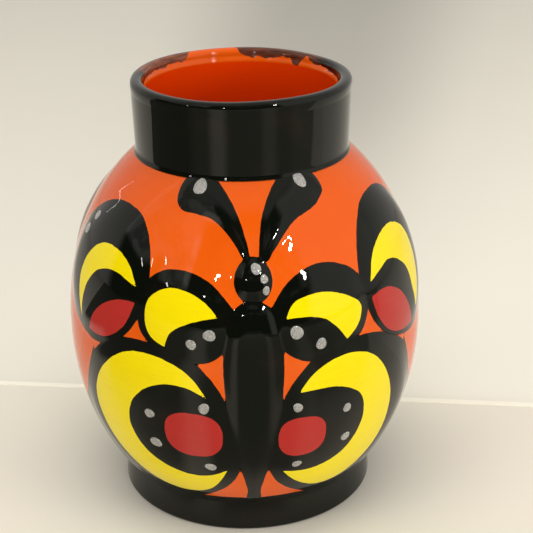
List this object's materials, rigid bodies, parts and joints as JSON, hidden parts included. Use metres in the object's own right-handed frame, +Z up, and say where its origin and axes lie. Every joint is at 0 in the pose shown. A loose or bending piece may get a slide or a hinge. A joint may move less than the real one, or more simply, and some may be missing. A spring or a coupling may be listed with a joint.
{
  "type": "vase",
  "caption": "Round glazed earthenware vase with a straight collar, a foot ring and a low relief butterfly on the front and back.",
  "frame": {"origin": "middle of the foot's underside, on the surface the vase stands on", "axes": "+Z up along the vase's axis, -Y out through the middle of the front butterfly, +X to the right as seen from the front"},
  "size_m": [0.1646, 0.1692, 0.2],
  "materials": {
    "orange_glaze": "gloss",
    "black_glaze": "gloss",
    "bare_clay": "matte"
  },
  "bodies": {
    "root": {"foot_ring": "black_glaze", "floor_disc": "orange_glaze", "body_wall": "orange_glaze", "neck_collar": "black_glaze", "rim_lip": "black_glaze", "front_head": "black_glaze", "front_abdomen": "black_glaze", "front_feeler_left": "black_glaze", "front_feeler_right": "black_glaze", "front_upper_wing_left": "black_glaze", "front_upper_wing_right": "black_glaze", "front_inner_lobe_left": "black_glaze", "front_inner_lobe_right": "black_glaze", "front_lower_wing_left": "black_glaze", "front_lower_wing_right": "black_glaze", "back_head": "black_glaze", "back_abdomen": "black_glaze", "back_feeler_left": "black_glaze", "back_feeler_right": "black_glaze", "back_upper_wing_left": "black_glaze", "back_upper_wing_right": "black_glaze", "back_inner_lobe_left": "black_glaze", "back_inner_lobe_right": "black_glaze", "back_lower_wing_left": "black_glaze", "back_lower_wing_right": "black_glaze"}
  },
  "joints": []
}
